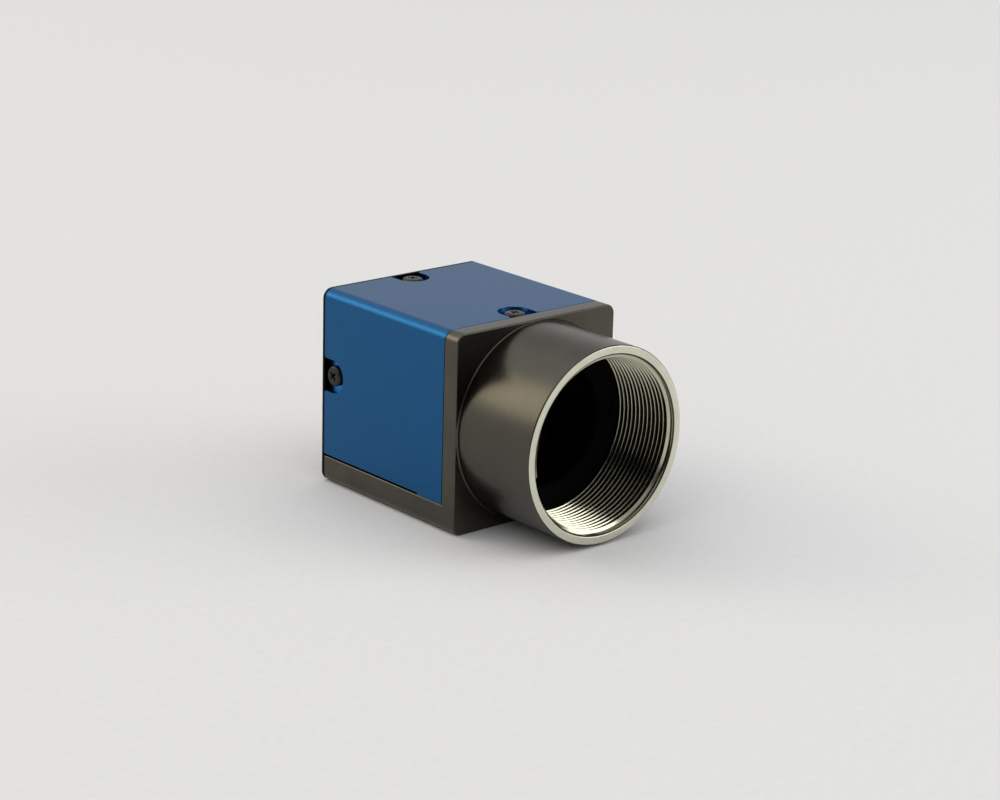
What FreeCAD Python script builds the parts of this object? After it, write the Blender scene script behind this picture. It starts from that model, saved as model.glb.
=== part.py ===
"""Machine vision camera: 29 mm cube housing with a threaded lens barrel.

Millimetres, +Z up, origin at the centre of the housing's underside.
The lens barrel points along -Y and the connectors are on the +Y side.
"""
import FreeCAD, Part
import math
import os
import re

import Sketcher

# Driving sizes. Each one is a cell of the sheet, and everything else is worked out from them.
SIZES = {
    # housing, whose sides, floor and roof stand a margin outside the lens boss
    "body_depth": 30.0,
    "side_margin": 0.1,
    "floor_margin": 0.1,
    "roof_margin": 0.1,
    "corner_radius": 1.5,
    "face_chamfer": 0.2,
    "front_plate": 2.7,
    "base_height": 4.0,
    "fit_gap": 0.05,
    "ledge_depth": 4.0,
    "rail_width": 1.65,
    "rail_height": 1.2,
    # sheet cover
    "cover_wall": 1.6,
    "cover_inner_radius": 0.5,
    "seam_gap": 0.3,
    "seam_start": 8.0,
    "recess_depth": 1.0,
    "recess_radius": 2.45,
    "recess_flare": 0.45,
    "front_screw_inset": 4.85,
    "rear_screw_inset": 2.4,
    "side_screw_rise": 1.9,
    # rear plate
    "rear_lip": 0.5,
    "rear_plate": 2.0,
    "rear_block": 4.8,
    "rear_frame_wall": 2.75,
    "rear_screw_side_inset": 4.0,
    "rear_screw_height": 2.1,
    # lens barrel
    "mount_radius": 12.7,
    "mount_chamfer": 0.4,
    "thread_depth": 11.2,
    "flange_focal": 17.526,
    "barrel_wall": 1.4,
    "boss_step": 0.3,
    "boss_height": 0.3,
    "spigot_step": 1.2,
    "spigot_length": 1.7,
    "filter_seat_step": 0.9,
    "filter_seat_depth": 1.9,
    "aperture_step": 3.8,
    # optical filter
    "filter_thick": 1.0,
    "filter_ring_thick": 0.8,
    "filter_ring_width": 2.75,
    "spanner_slot_width": 1.6,
    # image sensor
    "die_size": 8.8,
    "die_thick": 0.17,
    "die_gap": 0.4,
    "cavity_depth": 0.6,
    "window_lap": 0.75,
    "window_thick": 0.5,
    "package_rim": 0.65,
    "package_thick": 1.4,
    "sensor_opening_gap": 0.2,
    # circuit boards
    "board_standoff": 1.096,
    "board_side_gap": 1.2,
    "board_floor_gap": 0.5,
    "board_thick": 1.2,
    "board_clearance": 0.3,
    "spacer_inset": 1.5,
    "spacer_radius": 1.3,
    "link_floor_gap": 0.9,
    "link_height": 3.2,
    "processor_gap": 0.4,
    "processor_thick": 1.3,
    "interface_board_gap": 0.5,
    # small screws
    "head_radius": 1.5,
    "head_height": 0.9,
    "shank_radius": 0.8,
    "hole_gap": 0.05,
    "cover_screw_reach": 1.4,
    "rear_screw_reach": 3.2,
    "cross_width": 0.42,
    "cross_span": 1.7,
    "cross_depth": 0.45,
    # interfaces
    "base_hole_radius": 1.25,
    "base_hole_depth": 3.0,
    "base_hole_spacing_x": 20.0,
    "base_hole_spacing_y": 20.0,
    "base_hole_shift": 0.0,
    "usb_width": 12.6,
    "usb_height": 2.7,
    "usb_wall": 0.25,
    "usb_corner": 0.7,
    "usb_floor_gap": 0.85,
    "usb_notch_place": 1.7,
    "usb_notch_half": 0.35,
    "usb_notch_depth": 0.8,
    "usb_tongue": 0.7,
    "lock_hole_radius": 0.8,
    "lock_hole_spacing": 18.5,
    "io_side_gap": 1.1,
    "io_top_gap": 1.0,
    "io_radius": 4.4,
    "io_wall": 0.8,
    "io_length": 2.8,
    "io_flange_width": 0.7,
    "io_flange_thick": 0.6,
    "io_insert_recess": 1.6,
    "io_pin_radius": 0.4,
    "io_pin_wall_gap": 1.2,
    "io_pin_length": 3.6,
    "light_side_gap": 2.8,
    "light_top_gap": 3.1,
    "light_radius": 0.9,
    "light_dome": 0.2,
}
IO_PIN_COUNT = 6
IO_PIN_SIDES = 8

# Planes and places worked out from the sizes, by name.
PLACES = {
    "front_face": "-body_depth / 2",
    "rear_face": "body_depth / 2",
    "half_width": "boss_radius + side_margin",
    "axis_height": "boss_radius + floor_margin",
    "body_height": "axis_height + boss_radius + roof_margin",
    "plate_back": "front_face + front_plate",
    "chassis_back": "rear_face - rear_lip",
    "inner_half": "half_width - cover_wall - fit_gap",
    "inner_top": "body_height - cover_wall - fit_gap",
    "ledge_back": "plate_back + ledge_depth",
    "rail_top": "base_height + rail_height",
    "recess_floor": "body_height - recess_depth",
    "front_screw": "front_face + front_screw_inset",
    "rear_screw": "rear_face - rear_screw_inset",
    "side_screw_height": "axis_height + side_screw_rise",
    "rear_screw_place": "half_width - rear_screw_side_inset",
    "block_front": "rear_face - rear_block",
    "block_bottom": "rail_top + fit_gap",
    "frame_half": "inner_half - rear_frame_wall",
    "frame_top": "inner_top - rear_frame_wall",
    "frame_bottom": "block_bottom + rear_frame_wall",
    "frame_back": "rear_face - rear_plate",
    "barrel_radius": "mount_radius + barrel_wall",
    "boss_radius": "barrel_radius + boss_step",
    "boss_face": "front_face - boss_height",
    "spigot_radius": "barrel_radius - spigot_step",
    "thread_end": "barrel_front + thread_depth",
    "filter_seat_radius": "mount_radius - filter_seat_step",
    "aperture_radius": "filter_seat_radius - aperture_step",
    "filter_floor": "thread_end + filter_seat_depth",
    "spigot_end": "boss_face + spigot_length",
    "spigot_bore": "spigot_radius + fit_gap",
    "filter_front": "filter_floor - filter_thick",
    "ring_front": "filter_front - filter_ring_thick",
    "filter_radius": "filter_seat_radius - fit_gap",
    "filter_ring_opening": "filter_radius - filter_ring_width",
    "board_one": "plate_back + board_standoff",
    "package_front": "board_one - package_thick",
    "sensor_plane": "package_front + cavity_depth - die_thick",
    "barrel_front": "sensor_plane - flange_focal",
    "cavity_half": "die_size / 2 + die_gap",
    "window_half": "cavity_half + window_lap",
    "package_half": "window_half + package_rim",
    "sensor_opening_half": "package_half + sensor_opening_gap",
    "board_one_back": "board_one + board_thick",
    "board_four": "block_front - board_thick",
    "board_gap": "(board_four - board_one_back - 2 * board_thick) / 3",
    "board_two": "board_one_back + board_gap",
    "board_three": "board_two + board_thick + board_gap",
    "board_half_width": "inner_half - rail_width - board_side_gap",
    "board_half_height": "axis_height - base_height - board_floor_gap",
    "pocket_half_width": "board_half_width + board_clearance",
    "pocket_half_height": "board_half_height + board_clearance",
    "link_drop": "board_half_height - link_floor_gap - link_height / 2",
    "processor_half": "link_drop - link_height / 2 - processor_gap",
    "interface_board_middle": "(inner_top + block_bottom) / 2",
    "usb_centre_height": "frame_bottom + usb_floor_gap + usb_height / 2",
    "io_place": "frame_half - io_side_gap - io_radius",
    "io_height": "frame_top - io_top_gap - io_radius",
    "io_flange_radius": "io_radius + io_flange_width",
    "io_bore": "io_radius - io_wall",
    "io_pin_circle": "io_bore - io_pin_wall_gap - io_pin_radius",
    "light_place": "light_side_gap + light_radius - frame_half",
    "light_height": "frame_top - light_top_gap - light_radius",
    "hole_radius": "shank_radius + hole_gap",
}

START, END, CENTRE = 1, 2, 3
SKETCH_ORIGIN = -1
MARGIN = "1.0"  # how far a cutting profile runs past the face it cuts

doc = FreeCAD.newDocument("machine_vision_camera")
sheet = doc.addObject("Spreadsheet::Sheet", "Sizes")
for row, (name, size) in enumerate(SIZES.items(), start=1):
    sheet.set(f"A{row}", name)
    sheet.set(f"B{row}", str(size))
    sheet.setAlias(f"B{row}", name)
doc.recompute()


# ---------------------------------------------------------------- helpers

def full(expression):
    """Write an expression's named sizes and places out in cells of the sheet."""
    def word(match):
        name = match.group(0)
        if name in SIZES:
            return f"Sizes.{name}"
        if name in PLACES:
            return f"({full(PLACES[name])})"
        return name
    return re.sub(r"[a-z_]+", word, str(expression))


def amount(expression):
    """Value of an expression now, for a sketch's first drawing."""
    return float(sheet.evalExpression(full(expression)))


def bind(item, prop, expression):
    item.setExpression(prop, full(expression))


def new_body(label):
    body = doc.addObject("PartDesign::Body", label)
    body.Label = label
    return body


def new_sketch(body, name, plane, height="0", right="0", up="0"):
    """Sketch on one of the body's own planes, moved by the given amounts."""
    sketch = body.newObject("Sketcher::SketchObject", name)
    support = [item for item in body.Origin.OriginFeatures if item.Role == plane][0]
    sketch.AttachmentSupport = [(support, "")]
    sketch.MapMode = "FlatFace"
    for axis, shift in (("x", right), ("y", up), ("z", height)):
        bind(sketch, f"AttachmentOffset.Base.{axis}", shift)
    return sketch


def cross_section(body, name, at, up="0"):
    """Sketch across the Y axis: right is +X, up is +Z, and it faces -Y."""
    return new_sketch(body, name, "XZ_Plane", height=f"-({at})", up=up)


def axial_section(body, name, up="axis_height"):
    """Sketch in the YZ plane whose horizontal axis is the optical axis."""
    return new_sketch(body, name, "YZ_Plane", up=up)


def pin_point(sketch, item, point, x, y):
    for kind, place in (("DistanceX", x), ("DistanceY", y)):
        rule = Sketcher.Constraint(kind, SKETCH_ORIGIN, START, item, point, amount(place))
        number = sketch.addConstraint(rule)
        bind(sketch, f"Constraints[{number}]", place)


def draw_polygon(sketch, corners):
    first = sketch.GeometryCount
    count = len(corners)
    spots = [FreeCAD.Vector(amount(x), amount(y), 0) for x, y in corners]
    for index in range(count):
        sketch.addGeometry(Part.LineSegment(spots[index], spots[(index + 1) % count]))
    for index, (x, y) in enumerate(corners):
        line = first + index
        following = first + (index + 1) % count
        sketch.addConstraint(Sketcher.Constraint("Coincident", line, END, following, START))
        pin_point(sketch, line, START, x, y)


def draw_rectangle(sketch, left, right, low, high):
    draw_polygon(sketch, [(left, low), (right, low), (right, high), (left, high)])


def draw_square(sketch, half, x="0", y="0"):
    draw_rectangle(sketch, f"{x} - {half}", f"{x} + {half}", f"{y} - {half}", f"{y} + {half}")


def draw_circle(sketch, radius, x="0", y="0"):
    centre = FreeCAD.Vector(amount(x), amount(y), 0)
    item = sketch.addGeometry(Part.Circle(centre, FreeCAD.Vector(0, 0, 1), amount(radius)))
    pin_point(sketch, item, CENTRE, x, y)
    number = sketch.addConstraint(Sketcher.Constraint("Radius", item, amount(radius)))
    bind(sketch, f"Constraints[{number}]", radius)


def add_feature(body, kind, name, profile):
    feature = body.newObject(f"PartDesign::{kind}", name)
    feature.Profile = profile
    return feature


def pad(body, name, profile, length, reverse=False):
    feature = add_feature(body, "Pad", name, profile)
    bind(feature, "Length", length)
    feature.Reversed = reverse
    doc.recompute()
    return feature


def pocket(body, name, profile, length, reverse=False, both_ways=False):
    """Cut a profile away, checked to take material with it."""
    before = body.Shape.Volume
    feature = add_feature(body, "Pocket", name, profile)
    bind(feature, "Length", length)
    feature.Reversed = reverse
    if both_ways:
        feature.SideType = "Symmetric"
    doc.recompute()
    if not body.Shape.Volume < before:
        raise RuntimeError(f"{name} cuts nothing")
    return feature


def revolve(body, name, profile):
    """Turn a profile once round its sketch's horizontal axis."""
    feature = add_feature(body, "Revolution", name, profile)
    feature.ReferenceAxis = (profile, ["H_Axis"])
    feature.Angle = 360.0
    doc.recompute()
    return feature


def dress(body, kind, name, size, chosen):
    """Fillet or chamfer the edges of the body's last feature that `chosen` picks."""
    base = body.Tip
    edges = [f"Edge{number}" for number, edge in enumerate(base.Shape.Edges, start=1) if chosen(edge)]
    if not edges:
        raise RuntimeError(f"{name} finds no edge")
    feature = body.newObject(f"PartDesign::{kind}", name)
    feature.Base = (base, edges)
    bind(feature, "Radius" if kind == "Fillet" else "Size", size)
    doc.recompute()
    return feature


def near(first, second):
    return abs(first - second) < 1e-4


def runs_along(edge, axis):
    """Whether an edge is straight and parallel to a row axis, 0 for X, 1 for Y and 2 for Z."""
    if edge.Curve.TypeId != "Part::GeomLine":
        return False
    way = edge.Vertexes[-1].Point - edge.Vertexes[0].Point
    return near(abs(way[axis]), way.Length)


def long_corners(half, heights):
    """Picker of the straight edges along Y at a half width and any of some heights."""
    def chosen(edge):
        spot = edge.CenterOfMass
        level = any(near(spot.z, amount(height)) for height in heights)
        return runs_along(edge, 1) and near(abs(spot.x), amount(half)) and level
    return chosen


def both_sides(place):
    return (f"-({place})", place)


# ---------------------------------------------------------------- housing

def make_chassis():
    """L-shaped front plate and base in one piece, with the ledge that carries the cover."""
    body = new_body("front_chassis")
    face = cross_section(body, "front_outline", "plate_back")
    draw_rectangle(face, "-half_width", "half_width", "0", "body_height")
    pad(body, "front_pad", face, "front_plate")

    slab = cross_section(body, "base_outline", "chassis_back")
    draw_rectangle(slab, "-half_width", "half_width", "0", "base_height")
    pad(body, "base_pad", slab, "chassis_back - plate_back")
    dress(body, "Fillet", "body_corners", "corner_radius",
          long_corners("half_width", ("0", "body_height")))

    def front_outline(edge):
        return all(near(point.y, amount("front_face")) for point in (
            edge.CenterOfMass, edge.Vertexes[0].Point))
    dress(body, "Chamfer", "front_edge", "face_chamfer", front_outline)

    ledge = cross_section(body, "ledge_outline", "ledge_back")
    draw_rectangle(ledge, "-inner_half", "inner_half", "base_height", "inner_top")
    draw_rectangle(ledge, "-pocket_half_width", "pocket_half_width",
                   "axis_height - pocket_half_height", "axis_height + pocket_half_height")
    pad(body, "ledge_pad", ledge, "ledge_depth")
    dress(body, "Fillet", "ledge_corners", "cover_inner_radius",
          long_corners("inner_half", ("inner_top",)))

    rails = cross_section(body, "rail_outline", "chassis_back")
    draw_rectangle(rails, "-inner_half", "rail_width - inner_half", "base_height", "rail_top")
    draw_rectangle(rails, "inner_half - rail_width", "inner_half", "base_height", "rail_top")
    pad(body, "rail_pads", rails, "chassis_back - ledge_back")

    boss = cross_section(body, "boss_outline", "front_face", up="axis_height")
    draw_circle(boss, "boss_radius")
    pad(body, "boss_pad", boss, "boss_height")
    bore = cross_section(body, "spigot_outline", "spigot_end", up="axis_height")
    draw_circle(bore, "spigot_bore")
    pocket(body, "spigot_pocket", bore, f"spigot_length + {MARGIN}", reverse=True)
    window = cross_section(body, "sensor_opening_outline", "plate_back", up="axis_height")
    draw_square(window, "sensor_opening_half")
    pocket(body, "sensor_opening_cut", window, "front_plate + boss_height", reverse=True)

    pads = cross_section(body, "board_pads", "board_one", up="axis_height")
    for x in both_sides("1"):
        for z in both_sides("1"):
            draw_rectangle(pads, f"{x} * sensor_opening_half", f"{x} * pocket_half_width",
                           f"{z} * sensor_opening_half", f"{z} * pocket_half_height")
    pad(body, "board_pad_blocks", pads, "board_one - plate_back")

    cover_hole = new_sketch(body, "cover_screw_hole", "XY_Plane", height="inner_top")
    draw_circle(cover_hole, "hole_radius", "0", "front_screw")
    pocket(body, "cover_screw_bore", cover_hole, "cover_screw_reach + hole_gap")

    base_holes = new_sketch(body, "base_hole_places", "XY_Plane")
    for x in both_sides("base_hole_spacing_x / 2"):
        for y in both_sides("base_hole_spacing_y / 2"):
            draw_circle(base_holes, "base_hole_radius", x, f"base_hole_shift + {y}")
    pocket(body, "base_holes", base_holes, "base_hole_depth", reverse=True)

    rear_holes = cross_section(body, "rear_screw_holes", "chassis_back")
    for x in both_sides("rear_screw_place"):
        draw_circle(rear_holes, "hole_radius", x, "rear_screw_height")
    pocket(body, "rear_screw_bores", rear_holes, "rear_screw_reach - rear_lip + hole_gap",
           reverse=True)
    return body


def draw_slot(sketch, along, centre, across, radius, mouth):
    """Slot with a round end at `centre`, running along sketch axis X or Y out past `mouth`."""
    def spot(run, side):
        return (run, side) if along == "X" else (side, run)

    low = f"{across} - {radius}"
    high = f"{across} + {radius}"
    ends = [spot(mouth, low), spot(centre, low), spot(centre, high), spot(mouth, high)]
    points = [FreeCAD.Vector(amount(x), amount(y), 0) for x, y in ends]
    lines = [(points[2], points[3]), (points[3], points[0]), (points[0], points[1])]
    first = sketch.GeometryCount
    for start, end in lines:
        sketch.addGeometry(Part.LineSegment(start, end))
    heading = 0.0 if along == "X" else math.pi / 2
    if amount(centre) < amount(mouth):
        heading += math.pi
    middle = FreeCAD.Vector((points[1] + points[2]) / 2)
    circle = Part.Circle(middle, FreeCAD.Vector(0, 0, 1), amount(radius))
    arc = Part.ArcOfCircle(circle, heading - math.pi / 2, heading + math.pi / 2)
    item = sketch.addGeometry(arc)
    start_is_low = (arc.StartPoint - points[1]).Length < (arc.StartPoint - points[2]).Length
    low_end, high_end = (START, END) if start_is_low else (END, START)
    joints = [(first, END, first + 1, START), (first + 1, END, first + 2, START),
              (first + 2, END, item, low_end), (first, START, item, high_end)]
    for joint in joints:
        sketch.addConstraint(Sketcher.Constraint("Coincident", *joint))
    pin_point(sketch, first, START, *ends[2])
    pin_point(sketch, first + 1, START, *ends[3])
    pin_point(sketch, first + 2, START, *ends[0])
    pin_point(sketch, first + 2, END, *ends[1])
    kind = "DistanceX" if along == "X" else "DistanceY"
    rule = Sketcher.Constraint(kind, SKETCH_ORIGIN, START, item, CENTRE, amount(centre))
    number = sketch.addConstraint(rule)
    bind(sketch, f"Constraints[{number}]", centre)


def make_cover():
    """Folded U cover over the top and both sides, recessed round its four screws."""
    body = new_body("top_cover")
    section = cross_section(body, "cover_section", "chassis_back")
    draw_polygon(section, [
        ("-half_width", "base_height"),
        ("-half_width", "body_height"),
        ("half_width", "body_height"),
        ("half_width", "base_height"),
        ("half_width - cover_wall", "base_height"),
        ("half_width - cover_wall", "body_height - cover_wall"),
        ("cover_wall - half_width", "body_height - cover_wall"),
        ("cover_wall - half_width", "base_height"),
    ])
    pad(body, "cover_pad", section, "chassis_back - plate_back")
    dress(body, "Fillet", "outer_folds", "corner_radius",
          long_corners("half_width", ("body_height",)))
    dress(body, "Fillet", "inner_folds", "cover_inner_radius",
          long_corners("half_width - cover_wall", ("body_height - cover_wall",)))

    step = axial_section(body, "seam_step", up="0")
    draw_rectangle(step, "front_face + seam_start", f"chassis_back + {MARGIN}",
                   f"base_height - {MARGIN}", "base_height + seam_gap")
    pocket(body, "seam_cut", step, f"2 * half_width + {MARGIN}", both_ways=True)

    top = new_sketch(body, "top_recesses", "XY_Plane", height="body_height")
    draw_slot(top, "Y", "front_screw", "0", "recess_radius", f"plate_back - {MARGIN}")
    draw_slot(top, "Y", "rear_screw", "0", "recess_radius", f"chassis_back + {MARGIN}")
    pocket(body, "top_recess_cuts", top, "recess_depth")
    top_holes = new_sketch(body, "top_screw_holes", "XY_Plane", height="body_height")
    for place in ("front_screw", "rear_screw"):
        draw_circle(top_holes, "hole_radius", "0", place)
    pocket(body, "top_screw_bores", top_holes, "cover_wall + fit_gap")

    for side, sign, turned in (("left", "-", False), ("right", "", True)):
        recess = new_sketch(body, f"{side}_recess", "YZ_Plane", height=f"{sign}half_width")
        draw_slot(recess, "X", "rear_screw", "side_screw_height", "recess_radius",
                  f"chassis_back + {MARGIN}")
        pocket(body, f"{side}_recess_cut", recess, "recess_depth", reverse=not turned)
        hole = new_sketch(body, f"{side}_screw_hole", "YZ_Plane", height=f"{sign}half_width")
        draw_circle(hole, "hole_radius", "rear_screw", "side_screw_height")
        pocket(body, f"{side}_screw_bore", hole, "cover_wall + fit_gap", reverse=not turned)

    def recess_mouth(edge):
        """The short edges where a recess wall meets the cover's front or rear edge."""
        spot = edge.CenterOfMass
        at_end = near(spot.y, amount("plate_back")) or near(spot.y, amount("chassis_back"))
        radius = amount("recess_radius")
        in_top = runs_along(edge, 2) and near(abs(spot.x), radius)
        in_side = runs_along(edge, 0) and near(abs(spot.z - amount("side_screw_height")), radius)
        outside = abs(spot.x) > amount("inner_half")
        return at_end and (in_top or (in_side and outside))
    dress(body, "Fillet", "recess_flares", "recess_flare", recess_mouth)
    return body


def make_countersinks(body):
    """Cone-shaped seats for the rear screws, as deep as the rear lip is thick."""
    cones = cross_section(body, "rear_screw_seats", "rear_face")
    for x in both_sides("rear_screw_place"):
        draw_circle(cones, "head_radius + hole_gap", x, "rear_screw_height")
    cut = pocket(body, "rear_countersinks", cones, "rear_lip", reverse=True)
    bind(cut, "TaperAngle", "-atan((head_radius - shank_radius) / rear_lip)")
    doc.recompute()


def make_rear_plate():
    """Rear plate: a thin full-size lip and a framed block that fits inside the cover."""
    body = new_body("rear_plate")
    lip = cross_section(body, "lip_outline", "rear_face")
    draw_rectangle(lip, "-half_width", "half_width", "0", "body_height")
    pad(body, "lip_pad", lip, "rear_lip")
    dress(body, "Fillet", "lip_corners", "corner_radius",
          long_corners("half_width", ("0", "body_height")))
    block = cross_section(body, "block_outline", "chassis_back")
    draw_rectangle(block, "-inner_half", "inner_half", "block_bottom", "inner_top")
    pad(body, "block_pad", block, "rear_block - rear_lip")
    dress(body, "Fillet", "block_corners", "cover_inner_radius",
          long_corners("inner_half", ("inner_top",)))
    hollow = cross_section(body, "hollow_outline", "frame_back")
    draw_rectangle(hollow, "-frame_half", "frame_half", "frame_bottom", "frame_top")
    pocket(body, "hollow_cut", hollow, f"rear_block + {MARGIN}", reverse=True)

    openings = cross_section(body, "socket_openings", "rear_face")
    draw_polygon(openings, usb_outline("-fit_gap"))
    draw_circle(openings, "io_radius + fit_gap", "io_place", "io_height")
    draw_circle(openings, "light_radius + fit_gap", "light_place", "light_height")
    for x in both_sides("lock_hole_spacing / 2"):
        draw_circle(openings, "lock_hole_radius", x, "usb_centre_height")
    pocket(body, "socket_cuts", openings, "rear_plate + fit_gap", reverse=True)

    top_hole = new_sketch(body, "top_screw_hole", "XY_Plane", height="inner_top")
    draw_circle(top_hole, "hole_radius", "0", "rear_screw")
    pocket(body, "top_screw_bore", top_hole, "cover_screw_reach + hole_gap")
    for side, sign, turned in (("left", "-", False), ("right", "", True)):
        hole = new_sketch(body, f"{side}_screw_hole", "YZ_Plane", height=f"{sign}inner_half")
        draw_circle(hole, "hole_radius", "rear_screw", "side_screw_height")
        pocket(body, f"{side}_screw_bore", hole, "cover_screw_reach + hole_gap",
               reverse=not turned)

    make_countersinks(body)
    return body


# ---------------------------------------------------------------- lens barrel and filter

def make_barrel():
    """Turned barrel: spigot, filter seat and the bore that the lens thread is cut in."""
    body = new_body("lens_barrel")
    section = axial_section(body, "barrel_section")
    draw_polygon(section, [
        ("barrel_front", "mount_radius + mount_chamfer"),
        ("barrel_front", "barrel_radius"),
        ("boss_face", "barrel_radius"),
        ("boss_face", "spigot_radius"),
        ("spigot_end", "spigot_radius"),
        ("spigot_end", "aperture_radius"),
        ("filter_floor", "aperture_radius"),
        ("filter_floor", "filter_seat_radius"),
        ("thread_end", "filter_seat_radius"),
        ("thread_end", "mount_radius"),
        ("barrel_front + mount_chamfer", "mount_radius"),
    ])
    revolve(body, "barrel_turned", section)
    return body


def make_disc(label, front, back, outer, inner=None):
    """Flat round piece on the optical axis between two planes, with or without a hole."""
    body = new_body(label)
    section = axial_section(body, f"{label}_section")
    draw_rectangle(section, front, back, inner or "0", outer)
    revolve(body, f"{label}_turned", section)
    return body


def make_filter_ring():
    """Ring that holds the filter, with two slots across it for a pin spanner."""
    body = make_disc("filter_retaining_ring", "ring_front", "filter_front",
                     "filter_radius", "filter_ring_opening")
    slots = cross_section(body, "spanner_slots", "ring_front", up="axis_height")
    for side in ("-1", "1"):
        draw_rectangle(slots, f"{side} * (filter_ring_opening - {MARGIN})",
                       f"{side} * (filter_radius + {MARGIN})",
                       "-spanner_slot_width / 2", "spanner_slot_width / 2")
    pocket(body, "spanner_slot_cuts", slots, "filter_ring_thick / 2")
    return body


# ---------------------------------------------------------------- image sensor and boards

def make_block(label, front, back, half_across, half_up, x="0", z="axis_height"):
    """Rectangular piece between two planes across the Y axis, round a centre."""
    body = new_body(label)
    outline = cross_section(body, f"{label}_outline", back)
    draw_rectangle(outline, f"{x} - ({half_across})", f"{x} + ({half_across})",
                   f"{z} - ({half_up})", f"{z} + ({half_up})")
    pad(body, f"{label}_pad", outline, f"({back}) - ({front})")
    return body


def make_package():
    """Ceramic sensor package, open at the front for the die."""
    body = make_block("sensor_package", "package_front", "board_one",
                      "package_half", "package_half")
    cavity = cross_section(body, "cavity_outline", "package_front", up="axis_height")
    draw_square(cavity, "cavity_half")
    pocket(body, "cavity_cut", cavity, "cavity_depth")
    return body


def make_board(label, front, half_across="board_half_width", half_up="board_half_height",
               z="axis_height"):
    return make_block(label, front, f"{front} + board_thick", half_across, half_up, z=z)


def make_spacer(label, front, back, x):
    """Hexagonal post that keeps two boards apart."""
    body = new_body(label)
    ends = cross_section(body, f"{label}_ends", back, up="axis_height")
    corners = [(f"{x} + spacer_radius * cos({angle})", f"spacer_radius * sin({angle})")
               for angle in range(30, 390, 60)]
    draw_polygon(ends, corners)
    pad(body, f"{label}_pad", ends, f"({back}) - ({front})")
    return body


def make_boards():
    make_board("sensor_board", "board_one")
    make_board("processing_board", "board_two")
    make_board("power_board", "board_three")
    make_board("interface_board", "board_four", "inner_half - interface_board_gap",
               "(inner_top - block_bottom) / 2 - interface_board_gap", "interface_board_middle")
    make_block("image_processor", "board_two - processor_thick", "board_two",
               "processor_half", "processor_half")
    gaps = [("board_one", "board_two"), ("board_two", "board_three"),
            ("board_three", "board_four")]
    for number, (front_board, back_board) in enumerate(gaps, start=1):
        front = f"{front_board} + board_thick"
        make_block(f"board_connector_{number}", front, back_board,
                   "processor_half", "link_height / 2", z="axis_height - link_drop")
        for side, x in zip(("left", "right"), both_sides("board_half_width - spacer_inset")):
            make_spacer(f"board_spacer_{number}_{side}", front, back_board, x)


# ---------------------------------------------------------------- rear interfaces

def usb_outline(inset):
    """Outline of the data socket, two joined lobes with cut lower corners, drawn smaller by
    an inset."""
    half = f"usb_width / 2 - {inset}"
    top = f"usb_centre_height + usb_height / 2 - {inset}"
    low = f"usb_centre_height - usb_height / 2 + {inset}"
    cut = f"usb_corner - {inset} * (2 - sqrt(2))"
    notch = f"usb_notch_half + {inset}"
    notch_top = f"{low} + usb_notch_depth"
    return [
        (f"-({half})", top),
        (half, top),
        (half, f"{low} + {cut}"),
        (f"{half} - ({cut})", low),
        (f"usb_notch_place + {notch}", low),
        (f"usb_notch_place + {notch}", notch_top),
        (f"usb_notch_place - ({notch})", notch_top),
        (f"usb_notch_place - ({notch})", low),
        (f"{cut} - ({half})", low),
        (f"-({half})", f"{low} + {cut}"),
    ]


def make_usb_socket():
    """Folded steel shell of the data socket, and its plastic back and two tongues."""
    shell = new_body("usb_shell")
    walls = cross_section(shell, "usb_walls", "rear_face")
    draw_polygon(walls, usb_outline("0"))
    draw_polygon(walls, usb_outline("usb_wall"))
    pad(shell, "usb_shell_pad", walls, "rear_face - block_front")

    insert = new_body("usb_insert")
    back = cross_section(insert, "usb_back", "block_front + usb_tongue")
    draw_polygon(back, usb_outline("usb_wall"))
    pad(insert, "usb_back_pad", back, "usb_tongue")
    tongues = cross_section(insert, "usb_tongues", "rear_face - usb_tongue")
    side_gap = "(usb_wall + usb_tongue)"
    low = "usb_centre_height"
    high = "usb_centre_height + usb_tongue"
    notch = "(usb_notch_half + usb_wall + usb_tongue)"
    draw_rectangle(tongues, f"{side_gap} - usb_width / 2", f"usb_notch_place - {notch}", low, high)
    draw_rectangle(tongues, f"usb_notch_place + {notch}", f"usb_width / 2 - {side_gap}", low, high)
    pad(insert, "usb_tongue_pads", tongues, "rear_face - block_front - 2 * usb_tongue")


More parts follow.
